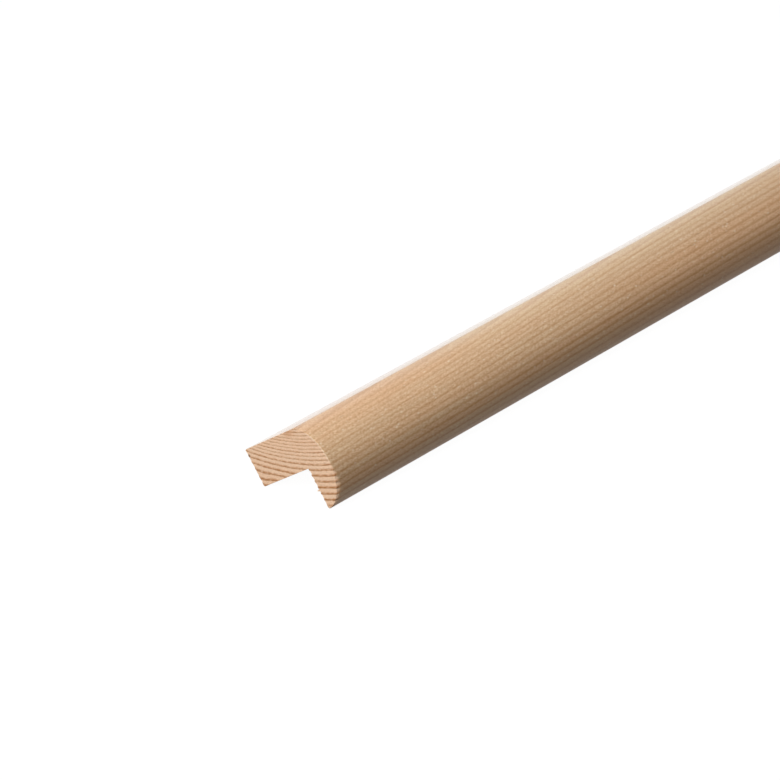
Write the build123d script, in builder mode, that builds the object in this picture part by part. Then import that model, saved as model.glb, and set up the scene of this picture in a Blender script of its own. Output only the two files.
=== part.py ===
"""Outside corner moulding: one stick of pine, planed to a rebated section with a half-round nose."""

import os
from math import atan2, cos, sin, sqrt

from build123d import *

# Driving dimensions of the section, in millimetres. It is drawn as seen with the rebate's inner
# corner at the sketch's origin, the wide leg running right from it and the narrow leg hanging down.
LENGTH = 1000.0
REBATE_WIDTH = 23.4
REBATE_DEPTH = 10.73
WIDE_LEG_THICKNESS = 10.25
NOSE_RADIUS = 10.6
EASING = 0.35

# The nose is one arc that ends square to the narrow leg's inner face, so its centre is straight
# above the tip of that leg, a hair below the rebate's inner corner.
nose_centre = (0.0, NOSE_RADIUS - REBATE_DEPTH)
nose_front = (-NOSE_RADIUS, nose_centre[1])
tip = (0.0, -REBATE_DEPTH)
back_top = (REBATE_WIDTH, WIDE_LEG_THICKNESS)
back_bottom = (REBATE_WIDTH, 0.0)

# The flat top stops short of the arc's crown, which leaves the faint arris along the nose.
crown_rise = WIDE_LEG_THICKNESS - nose_centre[1]
arris = (-sqrt(NOSE_RADIUS**2 - crown_rise**2), WIDE_LEG_THICKNESS)

# The moulding lies on its two long lower edges, the tip of the narrow leg and the back edge of the
# wide one, with the rebate between them like the space under a roof.
lean = atan2(REBATE_DEPTH, REBATE_WIDTH)
eased_off = EASING * (sin(lean) + cos(lean) - 1)
corner_height = REBATE_WIDTH * sin(lean) - eased_off

# Seen along the stick, the front of the nose and the top back edge are equally far from the origin.
front_reach = NOSE_RADIUS - nose_centre[1] * sin(lean)
back_reach = REBATE_WIDTH * cos(lean) + WIDE_LEG_THICKNESS * sin(lean) - eased_off
corner_offset = (front_reach - back_reach) / 2

end_plane = Plane(
    origin=(-LENGTH / 2, corner_offset, corner_height),
    x_dir=(0, cos(lean), -sin(lean)),
    z_dir=(1, 0, 0),
)

with BuildPart() as corner_moulding:
    with BuildSketch(end_plane) as section:
        with BuildLine():
            Polyline(tip, (0, 0), back_bottom, back_top, arris)
            ThreePointArc(arris, nose_front, tip)
        make_face()
        # The three outer arrises are eased by sanding. The rebate's inner corner and the arris beside
        # the nose stay as the cutter left them.
        long_edges = [
            section.vertices().sort_by_distance(corner)[0]
            for corner in (tip, back_bottom, back_top)
        ]
        fillet(long_edges, EASING)
    extrude(amount=LENGTH)

corner_moulding.part.label = "corner_moulding"

os.makedirs("parts", exist_ok=True)
export_step(corner_moulding.part, "parts/corner_moulding.step")
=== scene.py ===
"""Outside corner moulding in bare pine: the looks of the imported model, laid out as an add-on."""

from math import atan2, cos, exp, floor, hypot, log, pi, radians, sin, sqrt, tau

import bmesh
import bpy
from bpy.props import FloatProperty, FloatVectorProperty, PointerProperty
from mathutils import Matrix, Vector, noise
from mathutils.geometry import delaunay_2d_cdt


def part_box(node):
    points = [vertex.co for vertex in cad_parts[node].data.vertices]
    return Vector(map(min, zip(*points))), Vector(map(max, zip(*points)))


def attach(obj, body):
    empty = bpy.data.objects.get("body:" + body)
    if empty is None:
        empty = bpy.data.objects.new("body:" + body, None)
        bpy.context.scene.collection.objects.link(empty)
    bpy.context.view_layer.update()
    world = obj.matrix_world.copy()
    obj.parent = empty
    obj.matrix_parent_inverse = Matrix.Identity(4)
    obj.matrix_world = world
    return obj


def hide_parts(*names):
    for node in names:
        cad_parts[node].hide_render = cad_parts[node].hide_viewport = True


bl_info = {
    "name": "Outside Corner Moulding",
    "version": (1, 0, 0),
    "blender": (4, 5, 0),
    "location": "View3D > Sidebar > Moulding",
    "description": "Makes a planed pine corner moulding with a half-round nose, and its studio",
    "category": "Add Mesh",
}

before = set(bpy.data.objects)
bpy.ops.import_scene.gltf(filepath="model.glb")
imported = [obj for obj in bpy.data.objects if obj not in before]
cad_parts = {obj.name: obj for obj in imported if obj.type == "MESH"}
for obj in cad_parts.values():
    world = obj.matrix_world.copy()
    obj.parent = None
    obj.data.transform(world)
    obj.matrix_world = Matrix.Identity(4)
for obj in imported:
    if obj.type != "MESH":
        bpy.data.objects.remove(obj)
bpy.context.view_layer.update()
NODE = "corner_moulding"
NEAR_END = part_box(NODE)[0][0]
FAR_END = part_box(NODE)[1][0]

MM = 0.001

# Growth rings. The log's pith lay above the section and to the left of it, so the rings hang like
# shallow bowls. Distances are in millimetres, from the rebate's inner corner. The rings are narrow
# towards the pith and wide away from it, and change over about this far from the corner.
PITH_X = -30.2
PITH_Y = 117.6
INNER_CORNER_RADIUS = hypot(PITH_X, PITH_Y)
WIDE_RING = 1.57
NARROW_RING = 0.86
RING_CHANGE_AT = -2.6
RING_CHANGE_OVER = 1.1
RING_START = -0.02

# Along the stick the rings bow slowly and sway a little, so their lines run out at the faces. The
# bow is a little stronger higher up and further left, and just by the near end the rings dip.
BOW = 10.36
BOW_LENGTH = 317.0
BOW_BY_HEIGHT = 0.0196
BOW_BY_WIDTH = -0.0262
BOW_BASE = 1 + 3 * BOW_BY_HEIGHT + 8 * BOW_BY_WIDTH
SWAY = 0.3
SWAY_LENGTH = 144.0
DIP = 0.42
DIP_LENGTH = 6.0

# In the wide leg's lower back corner the rings spread, over these stretches across and up.
SPREAD = 0.8
SPREAD_ACROSS = (16.5, 22.5)
SPREAD_UP = (1.5, 5.5)

# How dark each year's line is, from the pith outwards, over and over.
YEARS = (0.4, 0.36, 0.46, 0.42, 0.34, 0.64, 0.36, 0.5, 0.75, 0.68, 0.8, 0.76, 1.0, 0.88, 0.84, 0.66, 0.6)
YEARS_BEFORE_CORNER = 10
LATE_WOOD_FROM = 0.38
LATE_WOOD_DARKEST = 0.84

# How deep the saw's chips are on each face's edge, in millimetres. They follow slow noise round the
# outline with finer noise on it. This share of each chip is even, and the rest is in soft wood only.
CHIPS = {"rebate": 0.07, "back": 0.24, "top": 0.08, "nose": 0.08, "tip": 0.5, "lip": 0.36}
EDGE_BREAK = 0.04
CHIP_PITCH = 0.7
FINE_CHIPS = 3.3
CHIP_MEAN, CHIP_SLOW, CHIP_FINE, CHIP_MOST = 0.55, 0.8, 0.45, 1.25
CHIP_EVEN = 0.15
SOFT_FROM_LINE = (0.02, 0.24)

# On the tip the chips are more even, grow downwards over the first stretch, and fade on its point.
# The wide leg's lower back corner is whole.
TIP_EVEN = 0.65
TIP_MEAN = 0.45
TIP_TOP_SHARE = 0.3
TIP_GROWS = (1.2, 6.0)
POINT_FADES = (9.6, 10.5)
POINT_LOSS = 0.75
BACK_CORNER_WHOLE = (0.0, 1.2)

# A chip slopes back into the stick over this reach and this many times its own depth. Where it is
# deeper than a scratch the face counts as torn.
CHIP_REACH = 0.1
CHIP_SLOPE = 2.0
CHIP_CURVE = 1.3
TORN_FROM = 0.03

# One splinter stands out from the narrow leg's inner face.
SPLINTER_HEIGHT = -5.75
SPLINTER_LENGTH = 1.45
SPLINTER_WIDTH = 0.26
SPLINTER_REACH = 0.4

# Relief of a sawn end: its depth in millimetres, the share of it that soft wood makes, and how many
# rough spots lie in a millimetre for the rest.
END_RELIEF = 0.05
RELIEF_SOFT = 0.45
RELIEF_PER_MM = 1.9

# Rows of vertices from a sawn end inwards, in millimetres, close where the chips are.
END_ROWS = (0, 0.06, 0.14, 0.25, 0.4, 0.6, 0.9, 1.4, 2.2, 4, 8, 16, 32, 60, 100, 160, 240, 330, 420)
OUTLINE_PITCH = 0.16
LEAST_STEPS = 4
TIP_FROM = radians(188)
SHARP_FROM = radians(28)

# The net over a sawn end: its spacing, how far it is shaken, and how far it stays inside the edge. The
# shaking starts from a seed of its own, so every run gives the same net.
END_GRID = 0.4
END_SHAKE = 0.2
SHAKE_STEPS = (7.31, 5.17)
SHAKE_SEED = 7
NET_INSET = 4.8 * OUTLINE_PITCH
NET_BORDER_STEP = 4
SAME_SPOT = 1e-6

# The two finishes, by their place in the mesh's list.
PLANED, SAWN = 0, 1

# The bake map: two strips of the long faces, end on end, over a band that holds the two ends.
MAP_MARGIN = 0.006
STRIP_SHARE = 0.366
ENDS_SHARE = 0.24

# Grains in the wood, as long as this along the stick, across it and up, in millimetres.
RING_WANDER_GRAIN = (70, 9, 9)
RING_SHIVER_GRAIN = (14, 1.3, 1.3)
WARM_PATCH = (85, 6, 6)
FIBRE = (7, 0.2, 0.2)
THREAD = (26, 0.45, 0.45)
PLANED_PORE = (0.42, 0.19, 0.19)
GLINTING_FIBRE = (0.8, 0.5, 0.5)
RESIN_CANAL = (3.5, 0.35, 0.35)
END_BLOTCH = (4, 2.2, 2.2)
END_BREAK = (3, 1.7, 0.6)
END_PORE = (0.4, 0.2, 0.2)
END_FUZZ = (1.5, 0.5, 0.26)
SAW_SCRATCH = (0.22, 3, 1)

# How far the rings wander, and how far their lines tremble on a planed face and on a sawn end. On a
# sawn end the years are also a little more alike.
RING_WANDER = 0.3
PLANED_TREMBLE = 0.14
SAWN_TREMBLE = 0.38
SAWN_EVENNESS = 0.12

# The crown is warm beside the near end. Further along the nose is warm lower down, and there the
# crown is pale with a painted sheen. Millimetres from the near end, or up from the rebate's inner corner.
NEAR_CROWN_TO, NEAR_CROWN_UP = (15, 75), (5.0, 9.0)
LOW_WARM_FROM, LOW_WARM_TO, LOW_WARM_UP = (70, 125), (190, 260), (1.5, 6.5)
SHEEN_CROWN_FROM, SHEEN_CROWN_TO, SHEEN_CROWN_UP = (35, 70), (110, 220), (5.8, 8.2)

# Uneven tone shows least in red and most in blue, as in wood.
TONE_BY_CHANNEL = (0.55, 1.0, 1.4)

# The flat top starts at this height and this far left, and is smoother by these shares, from the
# nose towards its back edge.
FLAT_TOP_UP = (9.85, 10.05)
FLAT_TOP_ACROSS = (-2.6, -2.1)
BURNISHED_ACROSS = (0.0, 20.0)
BURNISHED_BY = (0.6, 0.78)

# Relief on a planed face, in millimetres. The planer's knives leave a faint wave.
FIBRE_RELIEF = 0.006
PORE_RELIEF = 0.003
LATE_WOOD_RELIEF = 0.003
KNIFE_RELIEF = 0.0012
KNIFE_PITCH = 1.4
FLECK_RELIEF = -0.004
WOOD_IOR = 1.5

# Marks on the near sawn end, as places in the section and how fast they fade along each axis.
# The sliver's mark is painted shade: a dark spot for the hollow of a torn-out sliver.
SLIVER_SHADE_AT, SLIVER_SHADE_FADE = (0, 22.9, 8.45), (0.5, 1.4, 2.0)
STAIN_AT, STAIN_FADE = (0, 0.6, 10.2), (0.0, 0.26, 0.42)
# Where the painted highlight lies on the nose's cut edge: up, across, and in from the edge.
HIGHLIGHT_UP_FROM, HIGHLIGHT_UP_TO, HIGHLIGHT_ACROSS = (-1.0, 1.2), (6.8, 8.6), (-1.0, 1.0)
HIGHLIGHT_FROM_EDGE = (0.14, 0.36)

# A sawn end is dull and torn. Its relief is in millimetres, and the saw's scratches slope this much.
SAWN_ROUGHNESS = 0.85
SAWN_SPECULAR = 0.3
SAWN_RELIEF = 0.03
SAW_SLANT = 0.35

# The soft boxes: name, width and depth, place, and what they face, in metres.
SOFT_BOXES = (
    ("top_light", (2.0, 0.8), (-0.2, -0.15, 1.0), (-0.2, 0, 0)),
    ("end_light", (0.7, 0.7), (-1.5, -0.15, 0.55), (-0.5, 0, 0)),
    ("near_light", (0.3, 0.3), (-0.62, -0.12, 0.3), (-0.5, 0, 0)),
    ("back_light", (2.0, 0.6), (-0.1, 1.2, 0.9), (-0.1, 0, 0)),
)

# The floor's reach in metres, its glow and its own tone to the camera, and where it turns from dim to
# white in the wood's gloss. The camera sees nothing nearer than the last distance.
FLOOR_REACH = 12.0
FLOOR_GLOW = 0.97
FLOOR_PAPER = (0.08, 0.08, 0.08, 1)
WHITE = (1, 1, 1, 1)
GLOSS_EDGE = (-0.05, 0.04)
NEAREST_SEEN = 0.01

# Where a colour Mix node has its share, its two colours and its result.
MIX_SHARE, MIX_FIRST, MIX_SECOND, MIX_RESULT = 0, 6, 7, 2


def rise(value, low, high):
    """Goes smoothly from 0 at low to 1 at high."""
    share = min(max((value - low) / (high - low), 0.0), 1.0)
    return share * share * (3 - 2 * share)


def along(start, end, share):
    """The value this share of the way from start to end."""
    return start + (end - start) * share


class Outline:
    """The section's edge in millimetres, with the rebate's inner corner at 0, 0, nose to the left."""

    def __init__(self, size):
        self.rebate_width = size.rebate_width / MM
        self.rebate_depth = size.rebate_depth / MM
        self.thickness = size.wide_leg_thickness / MM
        self.nose = size.nose_radius / MM
        self.easing = size.easing / MM
        self.nose_height = self.nose - self.rebate_depth
        self.lean = atan2(self.rebate_depth, self.rebate_width)
        eased_off = self.easing * (sin(self.lean) + cos(self.lean) - 1)
        front = self.nose - self.nose_height * sin(self.lean)
        back = self.rebate_width * cos(self.lean) + self.thickness * sin(self.lean) - eased_off
        self.corner_offset = (front - back) / 2
        self.corner_height = self.rebate_width * sin(self.lean) - eased_off

    def place(self, point, depth):
        """A point of the section, this deep from the near end, as it lies in the room, in metres."""
        x, y = point
        across = self.corner_offset + x * cos(self.lean) + y * sin(self.lean)
        up = self.corner_height - x * sin(self.lean) + y * cos(self.lean)
        return Vector((NEAR_END + depth * MM, across * MM, up * MM))

    def section_point(self, room_point):
        """The section's own point for a place in the room."""
        local = room_point / MM
        across = local.y - self.corner_offset
        up = local.z - self.corner_height
        return (
            across * cos(self.lean) - up * sin(self.lean),
            across * sin(self.lean) + up * cos(self.lean),
        )

    def runs(self):
        """The stretches of the outline in order, each as its face's name, length, and where it goes."""
        ease, width, thick = self.easing, self.rebate_width, self.thickness
        crown = thick - self.nose_height
        arris = sqrt(self.nose**2 - crown**2)
        arris_turn = atan2(crown, -arris)
        tip_drop = sqrt((self.nose - ease) ** 2 - ease**2)
        tip_turn = atan2(-tip_drop, -ease) % tau
        tip_height = self.nose_height - tip_drop
        nose_centre = (0, self.nose_height)

        def line(face, start, end):
            far = hypot(end[0] - start[0], end[1] - start[1])
            outward = ((end[1] - start[1]) / far, (start[0] - end[0]) / far)

            def at(share):
                return (along(start[0], end[0], share), along(start[1], end[1], share)), outward

            return face, far, at

        def arc(face, centre, radius, start, end):
            def at(share):
                turn = along(start, end, share)
                outward = (cos(turn), sin(turn))
                return (centre[0] + radius * outward[0], centre[1] + radius * outward[1]), outward

            return face, radius * abs(end - start), at

        return (
            line("rebate", (0, 0), (width - ease, 0)),
            arc("back", (width - ease, ease), ease, -pi / 2, 0),
            line("back", (width, ease), (width, thick - ease)),
            arc("back", (width - ease, thick - ease), ease, 0, pi / 2),
            line("top", (width - ease, thick), (-arris, thick)),
            arc("nose", nose_centre, self.nose, arris_turn, TIP_FROM),
            arc("tip", nose_centre, self.nose, TIP_FROM, tip_turn),
            arc("tip", (-ease, tip_height), ease, tip_turn, tau),
            line("lip", (0, tip_height), (0, 0)),
        )

    def points(self, pitch):
        """Points round the outline: face, place, outward direction and distance travelled."""
        found, travelled = [], 0.0
        for face, length, at in self.runs():
            face_pitch = pitch / 2 if face == "lip" else pitch
            steps = max(LEAST_STEPS, round(length / face_pitch))
            for step in range(steps):
                place, outward = at(step / steps)
                found.append((face, place, outward, travelled + length * step / steps))
            travelled += length
        return found, travelled


def ring_count(x, y, depth):
    """How many years lie between the rebate's corner and this point, counted outwards."""
    bowed = BOW * sin(depth / BOW_LENGTH) * (BOW_BASE + BOW_BY_HEIGHT * y + BOW_BY_WIDTH * x)
    bowed -= SWAY * sin(tau * depth / SWAY_LENGTH) + DIP * exp(-depth / DIP_LENGTH)
    out = hypot(x - PITH_X, y - bowed - PITH_Y) - INNER_CORNER_RADIUS
    out -= SPREAD * rise(x, *SPREAD_ACROSS) * (1 - rise(y, *SPREAD_UP))
    change = RING_CHANGE_OVER * log(1 + exp((RING_CHANGE_AT - out) / RING_CHANGE_OVER))
    return out / WIDE_RING - (1 / NARROW_RING - 1 / WIDE_RING) * change + RING_START


def late_wood(x, y, depth):
    """How much of the wood at this point is the dark wood of late summer, from 0 to 1."""
    count = ring_count(x, y, depth)
    share = count - floor(count)
    return rise(share, LATE_WOOD_FROM, LATE_WOOD_DARKEST) * (1 - rise(share, LATE_WOOD_DARKEST, 1.0))


def softness(x, y, depth):
    """From 0 on a hard ring line to 1 midway between two, where the wood breaks away first."""
    count = ring_count(x, y, depth)
    off = abs(count - floor(count) - LATE_WOOD_DARKEST)
    return rise(min(off, 1 - off), *SOFT_FROM_LINE)


def chip_depth(face, place, travelled, end):
    """How far the saw broke the edge back here, in millimetres."""
    slow = noise.noise(Vector((travelled / CHIP_PITCH, end + 3.1, 0.7)))
    fine = noise.noise(Vector((travelled / CHIP_PITCH * FINE_CHIPS, end + 9.4, 5.2)))
    rough = min(max(CHIP_MEAN + CHIP_SLOW * slow + CHIP_FINE * fine, 0.0), CHIP_MOST)
    even = TIP_EVEN if face == "tip" else CHIP_EVEN
    below = -place[1]
    if face == "tip":
        grown = TIP_TOP_SHARE + (1 - TIP_TOP_SHARE) * rise(below, *TIP_GROWS)
        rough = (TIP_MEAN + (1 - TIP_MEAN) * rough) * grown
    if face in ("tip", "lip"):
        rough *= 1 - POINT_LOSS * rise(below, *POINT_FADES)
    if face == "back":
        rough *= rise(place[1], *BACK_CORNER_WHOLE)
    return EDGE_BREAK + CHIPS[face] * (even + (1 - even) * softness(*place, end)) * rough


def splinter_reach(face, place):
    """How far the one splinter on the narrow leg's inner face stands out here."""
    if face != "lip":
        return 0.0
    off = abs(place[1] - SPLINTER_HEIGHT) / SPLINTER_WIDTH
    return SPLINTER_LENGTH * max(0.0, 1 - off)


def end_relief(x, y, end):
    """How deep the sawn face lies under the stick's end here: soft wood is torn out, hard wood stands."""
    soft = 1 - late_wood(x, y, end)
    rough = 0.5 + 0.5 * noise.noise(Vector((x * RELIEF_PER_MM, y * RELIEF_PER_MM, end + 1.3)))
    return END_RELIEF * (RELIEF_SOFT * soft + (1 - RELIEF_SOFT) * rough)


def add_ring(mesh, outline, points, depth, length):
    """A ring of vertices round the stick, this deep from the near end, and whether each is chipped."""
    near = depth <= length / 2
    inward = depth if near else length - depth
    end = 0.0 if near else length
    ring, chipped = [], []
    for face, place, outward, travelled in points:
        chip = chip_depth(face, place, travelled, end)
        fade = max(0.0, 1 - inward / (CHIP_REACH + CHIP_SLOPE * chip)) ** CHIP_CURVE
        shift = -chip * fade
        if near:
            shift += splinter_reach(face, place) * max(0.0, 1 - inward / SPLINTER_REACH)
        spot = (place[0] + outward[0] * shift, place[1] + outward[1] * shift)
        sunk = end_relief(*spot, end) if inward == 0 else 0.0
        ring.append(mesh.verts.new(outline.place(spot, depth + (sunk if near else -sunk))))
        chipped.append(-shift > TORN_FROM)
    return ring, chipped


def moulding_mesh(size):
    """One closed mesh of the stick, with eased arrises, chipped ends and a torn splinter."""
    outline = Outline(size)
    points, girth = outline.points(OUTLINE_PITCH)
    length = (FAR_END - NEAR_END) / MM
    half = [depth for depth in END_ROWS if depth < length / 2]
    depths = half + [length / 2] + [length - depth for depth in reversed(half)]

    mesh = bmesh.new()
    rows, chipped = zip(*(add_ring(mesh, outline, points, depth, length) for depth in depths))
    map_layer = mesh.loops.layers.uv.new("OFBake")
    travel = [point[3] for point in points] + [girth]

    def map_side(face, row, column):
        """Lays a face of the long sides into the first or the second strip."""
        first = depths[row + 1] <= length / 2
        start = 0.0 if first else length / 2
        base = MAP_MARGIN if first else 2 * MAP_MARGIN + STRIP_SHARE
        corners = ((row, column), (row, column + 1), (row + 1, column + 1), (row + 1, column))
        for loop, (r, c) in zip(face.loops, corners):
            run = MAP_MARGIN + (1 - 2 * MAP_MARGIN) * (depths[r] - start) / (length / 2)
            loop[map_layer].uv = (run, base + STRIP_SHARE * travel[c] / girth)

    for row in range(len(depths) - 1):
        for column in range(len(points)):
            after = (column + 1) % len(points)
            corners = (rows[row][column], rows[row][after], rows[row + 1][after], rows[row + 1][column])
            side = mesh.faces.new(corners)
            map_side(side, row, column)
            side.smooth = True
            torn = chipped[row][column] and chipped[row + 1][column]
            side.material_index = SAWN if torn else PLANED

    add_end(mesh, outline, rows[0], points, 0.0, map_layer, 0)
    add_end(mesh, outline, rows[-1], points, length, map_layer, 1)
    bmesh.ops.recalc_face_normals(mesh, faces=mesh.faces)
    made = bpy.data.meshes.new("corner_moulding_stick")
    mesh.to_mesh(made)
    mesh.free()
    made.set_sharp_from_angle(angle=SHARP_FROM)
    return made, outline


def inside(point, loop):
    """Whether a point lies inside a closed loop of points."""
    x, y = point
    odd = False
    for (x1, y1), (x2, y2) in zip(loop, loop[1:] + loop[:1]):
        if (y1 > y) != (y2 > y) and x < x1 + (y - y1) * (x2 - x1) / (y2 - y1):
            odd = not odd
    return odd


def net_points(outline, points, end):
    """Points of the net over a sawn end, in staggered rows, a little uneven, well inside its edge."""
    left, low = -outline.nose, -outline.rebate_depth
    columns = int((outline.rebate_width - left) / END_GRID) + 1
    rows = int((outline.thickness - low) / END_GRID) + 1
    border = [(p[0] - n[0] * NET_INSET, p[1] - n[1] * NET_INSET) for _, p, n, _ in points]
    border = border[::NET_BORDER_STEP]
    noise.seed_set(SHAKE_SEED)
    found = []
    for i in range(columns):
        for j in range(rows):
            stagger = 0.5 * (j % 2)
            shake = noise.noise_vector(Vector((i * SHAKE_STEPS[0], j * SHAKE_STEPS[1], end))) * END_SHAKE
            spot = (left + (i + stagger + shake.x) * END_GRID, low + (j + shake.y) * END_GRID)
            if inside(spot, border):
                found.append(spot)
    return found


def add_end(mesh, outline, ring, points, end, map_layer, shelf):
    """Fills one sawn end with a fine net of triangles that carries the saw's relief."""
    edge = [outline.section_point(vertex.co) for vertex in ring]
    flat = [Vector(spot) for spot in edge + net_points(outline, points, end)]
    borders = [(i, (i + 1) % len(edge)) for i in range(len(edge))]
    spots, _, triangles, origins, _, _ = delaunay_2d_cdt(flat, borders, [], 1, SAME_SPOT)
    made = []
    for spot, origin in zip(spots, origins):
        source = [i for i in origin if i < len(edge)]
        if source:
            made.append(ring[source[0]])
        else:
            sunk = end_relief(spot.x, spot.y, end)
            made.append(mesh.verts.new(outline.place(spot, sunk if end == 0 else end - sunk)))

    left, right = -outline.nose, outline.rebate_width
    low, high = -outline.rebate_depth, outline.thickness
    scale = (ENDS_SHARE - MAP_MARGIN) / (high - low)
    base = 3 * MAP_MARGIN + 2 * STRIP_SHARE
    start = MAP_MARGIN + shelf * (scale * (right - left) + 3 * MAP_MARGIN)
    for triangle in triangles:
        face = mesh.faces.new([made[i] for i in triangle])
        face.material_index = SAWN
        face.smooth = True
        at = {made[i]: spots[i] for i in triangle}
        for loop in face.loops:
            spot = at[loop.vert]
            loop[map_layer].uv = (start + scale * (spot.x - left), base + scale * (spot.y - low))


class Graph:
    """Adds nodes to a material. A value given to a socket is a number, a colour or another output."""

    def __init__(self, name):
        self.material = bpy.data.materials.new(name)
        self.material.use_nodes = True
        self.tree = self.material.node_tree
        self.shader = self.tree.nodes["Principled BSDF"]

    def feed(self, socket, value):
        if isinstance(value, bpy.types.NodeSocket):
            self.tree.links.new(value, socket)
        else:
            socket.default_value = value

    def add(self, kind, values=(), **settings):
        node = self.tree.nodes.new("ShaderNode" + kind)
        for key, value in settings.items():
            setattr(node, key, value)
        for socket, value in zip(node.inputs, values):
            if value is not None:
                self.feed(socket, value)
        return node

    def math(self, operation, *values):
        return self.add("Math", values, operation=operation).outputs[0]

    def product(self, first, *others):
        for value in others:
            first = self.math("MULTIPLY", first, value)
        return first

    def weighed(self, *terms):
        """The sum of values, each times its weight."""
        (value, weight), *others = terms
        total = self.math("MULTIPLY", value, weight)
        for value, weight in others:
            total = self.math("MULTIPLY_ADD", value, weight, total)
        return total

    def rise(self, value, low, high, bottom=0.0, top=1.0):
        """Goes smoothly from bottom at low to top at high."""
        values = (value, low, high, bottom, top)
        return self.add("MapRange", values, interpolation_type="SMOOTHSTEP").outputs[0]

    def fall(self, value, low, high, top=1.0, bottom=0.0):
        """Goes smoothly from top at low to bottom at high."""
        return self.rise(value, low, high, top, bottom)

    def swing(self, value, width, reach):
        """Noise about a half, this wide, turned into tone about nothing, this strong either way."""
        return self.rise(value, 0.5 - width, 0.5 + width, -reach, reach)

    def blend(self, share, first, second, kind="MIX"):
        node = self.add("Mix", data_type="RGBA", blend_type=kind, clamp_factor=True)
        self.feed(node.inputs[MIX_SHARE], share)
        self.feed(node.inputs[MIX_FIRST], first)
        self.feed(node.inputs[MIX_SECOND], second)
        return node.outputs[MIX_RESULT]

    def scaled(self, place, stretch, seed):
        scale = tuple(1 / size for size in stretch)
        return self.add("VectorMath", (place, scale, seed), operation="MULTIPLY_ADD").outputs[0]

    def noise(self, place, stretch, detail=2.0, roughness=0.5, seed=(0, 0, 0)):
        """Soft noise whose grains are this long along, across and up, in millimetres."""
        values = (self.scaled(place, stretch, seed), None, 1.0, detail, roughness)
        return self.add("TexNoise", values, noise_dimensions="3D").outputs[0]

    def flecks(self, place, stretch, kept, size, seed):
        """A mask of scattered grains: this share of them, faint to strong, fading from their middles."""
        cells = self.add("TexVoronoi", (self.scaled(place, stretch, seed), None, 1.0), feature="F1")
        number, other, _ = self.add("SeparateColor", (cells.outputs["Color"],)).outputs
        chosen = self.rise(number, 1 - kept, 1.0)
        small = self.math("MULTIPLY", size, self.rise(other, 0.0, 1.0, bottom=0.5))
        mask = self.math("SUBTRACT", 1.0, self.rise(cells.outputs["Distance"], 0.0, small))
        return self.math("MULTIPLY", mask, chosen)

    def year_tone(self, year):
        """A number of its own for each year, from 0 to 1."""
        return self.add("TexWhiteNoise", (None, year), noise_dimensions="1D").outputs["Value"]

    def distance(self, place, centre, fade):
        """How far a place is from a centre, counted as fast as it fades along each axis."""
        gap = self.add("VectorMath", (place, centre), operation="SUBTRACT").outputs[0]
        gap = self.add("VectorMath", (gap, fade), operation="MULTIPLY").outputs[0]
        return self.add("VectorMath", (gap,), operation="LENGTH").outputs["Value"]

    def bump(self, height):
        """Gives the shader relief from a height in millimetres."""
        node = self.add("Bump")
        node.inputs["Distance"].default_value = MM
        node.inputs["Strength"].default_value = 1.0
        self.feed(node.inputs["Height"], height)
        self.feed(self.shader.inputs["Normal"], node.outputs[0])


def wood_place(graph, outline):
    """The point in the section's own axes, in millimetres: depth along the grain, across and up."""
    corner = outline.place((0, 0), 0)
    lean = outline.lean
    shift = (
        -corner.x / MM,
        -(corner.y * cos(lean) - corner.z * sin(lean)) / MM,
        -(corner.y * sin(lean) + corner.z * cos(lean)) / MM,
    )
    node = graph.add("Mapping", vector_type="POINT")
    graph.feed(node.inputs["Vector"], graph.add("TexCoord").outputs["Object"])
    node.inputs["Location"].default_value = shift
    node.inputs["Rotation"].default_value = (lean, 0, 0)
    node.inputs["Scale"].default_value = (1 / MM, 1 / MM, 1 / MM)
    return node.outputs[0]


def count_rings(graph, place, tremble):
    """The same count as ring_count in nodes, with the rings' wandering and trembling added."""
    depth, across, up = graph.add("SeparateXYZ", (place,)).outputs
    stronger = graph.math("MULTIPLY_ADD", up, BOW_BY_HEIGHT, BOW_BASE)
    stronger = graph.math("MULTIPLY_ADD", across, BOW_BY_WIDTH, stronger)
    bow = graph.product(graph.math("SINE", graph.math("DIVIDE", depth, BOW_LENGTH)), BOW, stronger)
    sway = graph.math("SINE", graph.math("MULTIPLY", depth, tau / SWAY_LENGTH))
    bowed = graph.math("SUBTRACT", bow, graph.math("MULTIPLY", sway, SWAY))
    dip = graph.math("EXPONENT", graph.math("DIVIDE", depth, -DIP_LENGTH))
    bowed = graph.math("SUBTRACT", bowed, graph.math("MULTIPLY", dip, DIP))
    x = graph.math("SUBTRACT", across, PITH_X)
    y = graph.math("SUBTRACT", graph.math("SUBTRACT", up, bowed), PITH_Y)
    from_pith = graph.math("SQRT", graph.math("MULTIPLY_ADD", x, x, graph.math("MULTIPLY", y, y)))
    out = graph.math("SUBTRACT", from_pith, INNER_CORNER_RADIUS)
    corner = graph.product(graph.rise(across, *SPREAD_ACROSS), graph.fall(up, *SPREAD_UP))
    out = graph.math("SUBTRACT", out, graph.math("MULTIPLY", corner, SPREAD))

    # Rings wander a little over some centimetres, and their lines tremble over a few fibres.
    wander = graph.noise(place, RING_WANDER_GRAIN, 1.0, seed=(3, 8, 1))
    out = graph.math("MULTIPLY_ADD", graph.math("SUBTRACT", wander, 0.5), RING_WANDER, out)
    shiver = graph.noise(place, RING_SHIVER_GRAIN, 2.0, seed=(1, 4, 2))
    out = graph.math("MULTIPLY_ADD", graph.math("SUBTRACT", shiver, 0.5), tremble, out)

    power = graph.math("DIVIDE", graph.math("SUBTRACT", RING_CHANGE_AT, out), RING_CHANGE_OVER)
    swell = graph.math("LOGARITHM", graph.math("ADD", graph.math("EXPONENT", power), 1.0), exp(1))
    closer = RING_CHANGE_OVER * (1 / NARROW_RING - 1 / WIDE_RING)
    count = graph.math("MULTIPLY_ADD", out, 1 / WIDE_RING, RING_START)
    return graph.math("SUBTRACT", count, graph.math("MULTIPLY", swell, closer))


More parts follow.
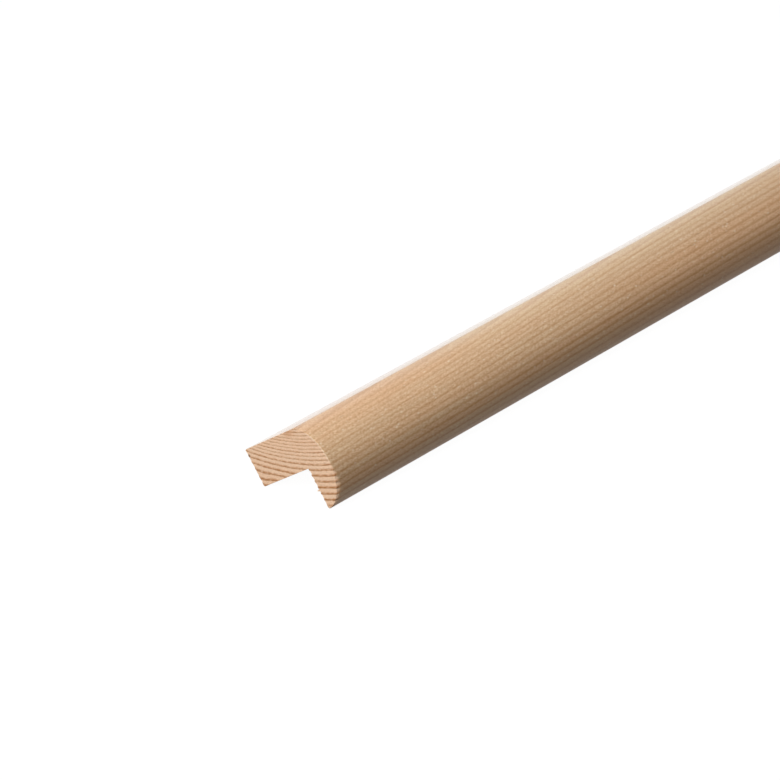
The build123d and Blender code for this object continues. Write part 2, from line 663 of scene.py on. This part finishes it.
def line_strength(graph, year):
    """How dark this year's line is, read from the list of years."""
    turn = graph.math("ADD", year, YEARS_BEFORE_CORNER + 0.5)
    turn = graph.math("FLOORED_MODULO", turn, len(YEARS))
    ramp = graph.add("ValToRGB", (graph.math("DIVIDE", turn, len(YEARS)),))
    stops = ramp.color_ramp
    stops.interpolation = "CONSTANT"
    stops.elements.remove(stops.elements[-1])
    for index, dark in enumerate(YEARS):
        stop = stops.elements[0] if index == 0 else stops.elements.new(index / len(YEARS))
        stop.color = (dark, dark, dark, 1)
    return ramp.outputs[0]


def grow_rings(graph, place, tremble, evenness):
    """The yearly rings as nodes: the share of late wood, the share of its year, and the year's number."""
    count = count_rings(graph, place, tremble)
    year = graph.math("FLOOR", count)
    share = graph.math("SUBTRACT", count, year)
    rising = graph.rise(share, LATE_WOOD_FROM, LATE_WOOD_DARKEST)
    falling = graph.fall(share, LATE_WOOD_DARKEST, 1.0)
    strength = graph.math("MULTIPLY_ADD", line_strength(graph, year), 1 - evenness, evenness)
    return graph.product(rising, falling, strength), share, year


def planed_early_wood(graph, look, place, year):
    """The pale wood. Each year has its own warmth, the stick has long warm stretches, and further along
    the crown has a painted sheen.
    """
    depth, _, up = graph.add("SeparateXYZ", (place,)).outputs
    warmth = graph.rise(graph.year_tone(year), 0.3, 1.0, top=0.5)
    colour = graph.blend(warmth, look.early_wood, look.warm_wood)
    patches = graph.noise(place, WARM_PATCH, 2.0, 0.55, (5, 1, 9))
    colour = graph.blend(graph.rise(patches, 0.48, 0.75, top=0.5), colour, look.warm_wood)
    near = graph.product(graph.fall(depth, *NEAR_CROWN_TO), graph.rise(up, *NEAR_CROWN_UP, top=0.9))
    colour = graph.blend(near, colour, look.warm_wood)
    low = graph.product(graph.rise(depth, *LOW_WARM_FROM), graph.fall(depth, *LOW_WARM_TO))
    low = graph.product(low, graph.fall(up, *LOW_WARM_UP, top=0.8))
    colour = graph.blend(low, colour, look.warm_wood)
    # Painted sheen: further along the nose the crown is blended towards a paler colour.
    sheen_fades = graph.fall(depth, *SHEEN_CROWN_TO, bottom=0.2)
    crown = graph.product(graph.rise(depth, *SHEEN_CROWN_FROM), sheen_fades)
    crown = graph.product(crown, graph.rise(up, *SHEEN_CROWN_UP, top=0.5))
    return graph.blend(crown, colour, look.crown_sheen)


def planed_pine(look, outline):
    """The long faces: flat and quarter sawn grain, fibres, pale flecks painted as glints, and resinous
    canals.
    """
    graph = Graph("planed_pine")
    place = wood_place(graph, outline)
    depth, across, up = graph.add("SeparateXYZ", (place,)).outputs
    late, share, year = grow_rings(graph, place, PLANED_TREMBLE, 0.0)
    colour = planed_early_wood(graph, look, place, year)
    colour = graph.blend(graph.math("MULTIPLY", late, look.grain_strength), colour, look.late_wood)
    darkening = graph.rise(share, 0.1, 0.95, top=0.14)
    colour = graph.blend(darkening, colour, look.late_wood)

    fibres = graph.swing(graph.noise(place, FIBRE, 3.0, 0.6), 0.25, 0.5)
    threads = graph.swing(graph.noise(place, THREAD, 2.0, 0.55, (2, 6, 3)), 0.2, 0.4)
    fine = graph.math("ADD", fibres, threads)
    pores = graph.swing(graph.noise(place, PLANED_PORE, 1.0, 0.5, (9, 3, 5)), 0.25, 0.5)
    uneven = graph.weighed((fine, look.fibre_strength), (pores, look.mottle_strength))
    tones = [graph.math("MULTIPLY_ADD", uneven, part, 1.0) for part in TONE_BY_CHANNEL]
    colour = graph.blend(1.0, colour, graph.add("CombineColor", tones).outputs[0], "MULTIPLY")

    # Pale flecks of broken fibres, painted near white as glints where they catch the light.
    pale = graph.flecks(place, GLINTING_FIBRE, kept=0.13, size=0.64, seed=(4, 4, 4))
    colour = graph.blend(pale, colour, look.fibre_glint)
    canals = graph.flecks(place, RESIN_CANAL, kept=0.06, size=0.4, seed=(8, 2, 6))
    colour = graph.blend(graph.math("MULTIPLY", canals, 0.5), colour, look.resin_and_shade)
    graph.feed(graph.shader.inputs["Base Color"], colour)

    # The flat top is burnished smoother than the nose, most of all towards its back edge.
    flat = graph.product(graph.rise(up, *FLAT_TOP_UP), graph.rise(across, *FLAT_TOP_ACROSS))
    by_nose, by_back = BURNISHED_BY
    lost = graph.rise(across, *BURNISHED_ACROSS, bottom=-by_nose, top=-by_back)
    left = graph.math("MULTIPLY_ADD", flat, lost, 1.0)
    gloss = graph.math("SUBTRACT", look.roughness, graph.math("MULTIPLY", late, 0.05))
    gloss = graph.math("MULTIPLY_ADD", fine, 0.05, gloss)
    graph.feed(graph.shader.inputs["Roughness"], graph.math("MULTIPLY", gloss, left))
    graph.shader.inputs["IOR"].default_value = WOOD_IOR

    knife = graph.math("SINE", graph.math("MULTIPLY", depth, tau / KNIFE_PITCH))
    height = graph.weighed(
        (fine, FIBRE_RELIEF),
        (pores, PORE_RELIEF),
        (late, LATE_WOOD_RELIEF),
        (knife, KNIFE_RELIEF),
        (pale, FLECK_RELIEF),
    )
    graph.bump(graph.math("MULTIPLY", height, left))
    return graph.material


def sawn_pine(look, outline):
    """The sawn ends: open early wood, dense dark late wood, pores and the saw's scratches."""
    graph = Graph("sawn_end_grain")
    place = wood_place(graph, outline)
    depth, across, up = graph.add("SeparateXYZ", (place,)).outputs
    late, share, year = grow_rings(graph, place, SAWN_TREMBLE, SAWN_EVENNESS)

    warmth = graph.rise(graph.year_tone(year), 0.1, 0.9, top=0.6)
    colour = graph.blend(warmth, look.end_early_wood, look.end_warm_wood)
    blotch = graph.noise(place, END_BLOTCH, 2.0, 0.5, (2, 2, 2))
    colour = graph.blend(graph.rise(blotch, 0.4, 0.7, top=0.6), colour, look.end_warm_wood)
    darkening = graph.rise(share, 0.15, 0.9, top=0.22)
    colour = graph.blend(darkening, colour, look.end_late_wood)
    broken = graph.noise(place, END_BREAK, 3.0, 0.65, (6, 1, 3))
    deep = graph.math("MULTIPLY", late, graph.rise(broken, 0.34, 0.64, bottom=0.45, top=1.5))
    deep = graph.math("MULTIPLY", deep, look.end_grain_strength)
    colour = graph.blend(deep, colour, look.end_late_wood)

    pores = graph.swing(graph.noise(place, END_PORE, 2.0, 0.6, (7, 7, 7)), 0.25, 0.5)
    fuzz = graph.swing(graph.noise(place, END_FUZZ, 2.0, 0.6, (3, 5, 7)), 0.2, 0.4)
    fine = graph.math("ADD", pores, fuzz)
    tone = graph.math("MULTIPLY_ADD", fine, look.pore_strength, 1.0)
    shade = graph.add("CombineColor", (tone, tone, tone)).outputs[0]
    colour = graph.blend(1.0, colour, shade, "MULTIPLY")

    # A sliver torn out beside the back edge of the near end is painted dark, as painted shade in its
    # hollow.
    torn = graph.distance(place, SLIVER_SHADE_AT, SLIVER_SHADE_FADE)
    colour = graph.blend(graph.fall(torn, 0.3, 1.0, top=0.9), colour, look.resin_and_shade)

    # The crown of the end is stained warm by resin.
    stain = graph.distance(place, STAIN_AT, STAIN_FADE)
    colour = graph.blend(graph.fall(stain, 0.0, 1.0, top=0.75), colour, look.warm_stain)

    # A painted highlight along the upper part of the nose's cut edge, where broken fibres stand pale and
    # catch the light.
    radius = graph.math("SUBTRACT", up, outline.nose_height)
    radius = graph.math("MULTIPLY_ADD", radius, radius, graph.math("MULTIPLY", across, across))
    rim = graph.math("SUBTRACT", outline.nose, graph.math("SQRT", radius))
    front = graph.product(
        graph.rise(up, *HIGHLIGHT_UP_FROM), graph.fall(up, *HIGHLIGHT_UP_TO), graph.fall(across, *HIGHLIGHT_ACROSS)
    )
    highlight_fringe = graph.math("MULTIPLY", graph.fall(rim, *HIGHLIGHT_FROM_EDGE, top=0.6), front)
    colour = graph.blend(highlight_fringe, colour, look.fibre_glint)
    graph.feed(graph.shader.inputs["Base Color"], colour)

    gloss = graph.math("MULTIPLY_ADD", late, -0.12, SAWN_ROUGHNESS)
    graph.feed(graph.shader.inputs["Roughness"], gloss)
    graph.shader.inputs["Specular IOR Level"].default_value = SAWN_SPECULAR

    slant = graph.math("MULTIPLY_ADD", across, SAW_SLANT, up)
    cut = graph.add("CombineXYZ", (slant, depth, 0.0)).outputs[0]
    scratch = graph.noise(cut, SAW_SCRATCH, 2.0, 0.6)
    graph.bump(graph.weighed((fine, SAWN_RELIEF), (late, SAWN_RELIEF), (scratch, SAWN_RELIEF)))
    return graph.material


def length_setting(name, description, default):
    return FloatProperty(name=name, description=description, default=default, unit="LENGTH", precision=5)


def colour_setting(name, description, default):
    return FloatVectorProperty(
        name=name, description=description, default=(*default, 1), size=4, subtype="COLOR", min=0, max=1
    )


def share_setting(name, description, default):
    return FloatProperty(name=name, description=description, default=default, min=0, max=1)


def power_setting(name, description, default):
    return FloatProperty(name=name, description=description, default=default, unit="POWER")


class MouldingSizes(bpy.types.PropertyGroup):
    """The section's sizes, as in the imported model."""

    rebate_width: length_setting("Rebate width", "From the inner corner to the back edge", 0.0234)
    rebate_depth: length_setting("Rebate depth", "From the inner corner to the narrow leg's tip", 0.01073)
    wide_leg_thickness: length_setting("Wide leg", "Thickness of the flat leg", 0.01025)
    nose_radius: length_setting("Nose radius", "Radius of the half-round nose", 0.0106)
    easing: length_setting("Easing", "Radius sanded on the three outer arrises", 0.00035)


class PineLook(bpy.types.PropertyGroup):
    """The colours of the wood and how strongly its figure shows."""

    early_wood: colour_setting("Early wood", "Pale wood of a planed face", (0.77, 0.523, 0.31))
    warm_wood: colour_setting("Warm wood", "Warmer stretches of a planed face", (0.805, 0.492, 0.272))
    # A painted sheen, laid on the crown further along the nose.
    crown_sheen: colour_setting("Pale wood", "Palest stretch of a planed face", (0.83, 0.61, 0.37))
    late_wood: colour_setting("Late wood", "Dark lines of a planed face", (0.565, 0.262, 0.092))
    # Near white, for painted glints: the flecks of broken fibres on a planed face, and the painted
    # highlight on a sawn end's nose edge.
    fibre_glint: colour_setting("Pale fleck", "Broken fibres that catch the light", (1.0, 0.86, 0.66))
    # Dark brown for the resin canals, and for the painted shade of the torn-out sliver on the near end.
    resin_and_shade: colour_setting("Resin", "Resin canals and torn wood", (0.22, 0.11, 0.055))
    end_early_wood: colour_setting("End early wood", "Pale wood of a sawn end", (0.87, 0.61, 0.42))
    end_warm_wood: colour_setting("End warm wood", "Warmer wood of a sawn end", (0.86, 0.57, 0.375))
    warm_stain: colour_setting("Stain", "Resin stain on a sawn end", (0.62, 0.32, 0.16))
    end_late_wood: colour_setting("End late wood", "Dark rings of a sawn end", (0.43, 0.19, 0.07))
    grain_strength: share_setting("Grain", "How dark the lines of a planed face are", 0.68)
    end_grain_strength: share_setting("End grain", "How dark the rings of a sawn end are", 1.0)
    fibre_strength: share_setting("Fibres", "Contrast of the fibres on a planed face", 0.1)
    mottle_strength: share_setting("Mottle", "Contrast of the pores on a planed face", 0.58)
    pore_strength: share_setting("Pores", "Contrast of the pores on a sawn end", 0.26)
    roughness: share_setting("Roughness", "How dull the planed faces are", 0.4)


class StudioLook(bpy.types.PropertyGroup):
    """The camera, the lights and the pale floor."""

    camera_place: FloatVectorProperty(
        name="Camera", description="Where the camera stands", default=(-0.8146, -0.5020, 0.2726),
        subtype="TRANSLATION", precision=4,
    )
    camera_turn: FloatVectorProperty(
        name="Turn", description="How the camera is turned",
        default=(radians(66.4416), radians(12.5372), radians(-40.1412)), subtype="EULER",
    )
    lens: FloatProperty(name="Lens", description="Focal length in millimetres", default=125.125, min=1)
    top_light: power_setting("Top light", "Power overhead", 2.5)
    end_light: power_setting("End light", "Power of the light that faces the sawn end", 10.7)
    near_light: power_setting("Near light", "Power of the small light over the near end", 0.26)
    back_light: power_setting("Back light", "Power of the light behind the stick", 3.7)
    surround: FloatProperty(
        name="Surround", description="Strength of the white room on the wood", default=0.12, min=0
    )
    floor_tone: colour_setting(
        "Floor", "Colour that the floor throws back at the wood", (0.135, 0.124, 0.114)
    )
    front_floor: share_setting(
        "Front floor", "How bright the floor before the stick is in its gloss", 0.15
    )


class OBJECT_OT_corner_moulding(bpy.types.Operator):
    """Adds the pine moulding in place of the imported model's plain solid"""

    bl_idname = "object.corner_moulding"
    bl_label = "Corner Moulding"
    bl_options = {"REGISTER", "UNDO"}

    def execute(self, context):
        sizes, look = context.scene.moulding_sizes, context.scene.pine_look
        mesh, outline = moulding_mesh(sizes)
        mesh.materials.append(planed_pine(look, outline))
        mesh.materials.append(sawn_pine(look, outline))
        stick = bpy.data.objects.new("corner_moulding_stick", mesh)
        context.collection.objects.link(stick)
        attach(stick, "root")
        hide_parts(NODE)
        return {"FINISHED"}


class OBJECT_OT_moulding_studio(bpy.types.Operator):
    """Adds the pale floor, the soft lights and the camera"""

    bl_idname = "object.moulding_studio"
    bl_label = "Studio"
    bl_options = {"REGISTER", "UNDO"}

    def execute(self, context):
        studio = context.scene.studio_look
        add_floor(context, studio)
        add_surround(context, studio)
        for name, size, place, target in SOFT_BOXES:
            add_soft_light(context, name, getattr(studio, name), size, place, target)
        add_camera(context, studio)
        context.scene.view_settings.view_transform = "Standard"
        return {"FINISHED"}


def add_camera(context, studio):
    """The camera, standing and turned as the studio's settings say."""
    camera = bpy.data.cameras.new("camera")
    camera.lens = studio.lens
    camera.clip_start = NEAREST_SEEN
    holder = bpy.data.objects.new("camera", camera)
    holder.location = studio.camera_place
    holder.rotation_euler = studio.camera_turn
    context.collection.objects.link(holder)
    context.scene.camera = holder


def add_soft_light(context, name, power, size, place, target):
    """A rectangular soft box at a place, turned to a target."""
    light = bpy.data.lights.new(name, "AREA")
    light.shape = "RECTANGLE"
    light.size, light.size_y = size
    light.energy = power
    holder = bpy.data.objects.new(name, light)
    holder.location = place
    holder.rotation_euler = (Vector(target) - Vector(place)).to_track_quat("-Z", "Y").to_euler()
    context.collection.objects.link(holder)


def add_floor(context, studio):
    """A floor that is white to the camera, with a faint shadow, and throws little light on the wood."""
    mesh = bpy.data.meshes.new("floor")
    reach = FLOOR_REACH
    corners = ((-reach, -reach, 0), (reach, -reach, 0), (reach, reach, 0), (-reach, reach, 0))
    mesh.from_pydata(corners, [], [(0, 1, 2, 3)])
    floor = bpy.data.objects.new("floor", mesh)
    context.collection.objects.link(floor)
    mesh.materials.append(pale_floor(studio))


def pale_floor(studio):
    """The floor's finish, which differs for the camera, for the wood's own light and for its gloss."""
    graph = Graph("pale_floor")
    graph.tree.nodes.remove(graph.shader)
    ray = graph.add("LightPath")
    white = graph.add("Emission", (WHITE, FLOOR_GLOW)).outputs[0]
    paper = graph.add("BsdfDiffuse", (FLOOR_PAPER,)).outputs[0]
    seen = graph.add("AddShader", (white, paper)).outputs[0]
    dull = graph.add("BsdfDiffuse", (studio.floor_tone,)).outputs[0]
    lit = graph.add("MixShader", (ray.outputs["Is Diffuse Ray"], seen, dull)).outputs[0]

    # In the wood's gloss the floor is dim in front of the stick and white behind it, as over a card.
    parts = graph.add("SeparateXYZ", (graph.add("TexCoord").outputs["Object"],))
    card = graph.rise(parts.outputs["Y"], *GLOSS_EDGE, bottom=studio.front_floor)
    gleam = graph.add("Emission", (WHITE, card)).outputs[0]
    floor = graph.add("MixShader", (ray.outputs["Is Glossy Ray"], lit, gleam)).outputs[0]
    graph.feed(graph.tree.nodes["Material Output"].inputs["Surface"], floor)
    return graph.material


def add_surround(context, studio):
    """A white room: full white to the eye and in reflections, softer as light on the wood."""
    world = bpy.data.worlds.new("white_room")
    world.use_nodes = True
    context.scene.world = world
    tree = world.node_tree
    back = tree.nodes["Background"]
    back.inputs["Color"].default_value = WHITE
    ray = tree.nodes.new("ShaderNodeLightPath")
    scale = tree.nodes.new("ShaderNodeMapRange")
    tree.links.new(ray.outputs["Is Diffuse Ray"], scale.inputs["Value"])
    scale.inputs["To Min"].default_value = 1.0
    scale.inputs["To Max"].default_value = studio.surround
    tree.links.new(scale.outputs[0], back.inputs["Strength"])


class VIEW3D_PT_corner_moulding(bpy.types.Panel):
    """Lists the moulding, its studio and their settings"""

    bl_label = "Corner Moulding"
    bl_idname = "VIEW3D_PT_corner_moulding"
    bl_space_type = "VIEW_3D"
    bl_region_type = "UI"
    bl_category = "Moulding"

    def draw(self, context):
        scene = context.scene
        for operator, groups in (
            (OBJECT_OT_corner_moulding, (scene.moulding_sizes, scene.pine_look)),
            (OBJECT_OT_moulding_studio, (scene.studio_look,)),
        ):
            box = self.layout.box()
            box.operator(operator.bl_idname)
            for group in groups:
                for key in group.__annotations__:
                    box.prop(group, key)


CLASSES = (
    MouldingSizes,
    PineLook,
    StudioLook,
    OBJECT_OT_corner_moulding,
    OBJECT_OT_moulding_studio,
    VIEW3D_PT_corner_moulding,
)


def register():
    for entry in CLASSES:
        bpy.utils.register_class(entry)
    bpy.types.Scene.moulding_sizes = PointerProperty(type=MouldingSizes)
    bpy.types.Scene.pine_look = PointerProperty(type=PineLook)
    bpy.types.Scene.studio_look = PointerProperty(type=StudioLook)


def unregister():
    del bpy.types.Scene.studio_look
    del bpy.types.Scene.pine_look
    del bpy.types.Scene.moulding_sizes
    for entry in reversed(CLASSES):
        bpy.utils.unregister_class(entry)


def main():
    register()
    bpy.ops.object.corner_moulding()
    bpy.ops.object.moulding_studio()


if __name__ == "__main__":
    main()
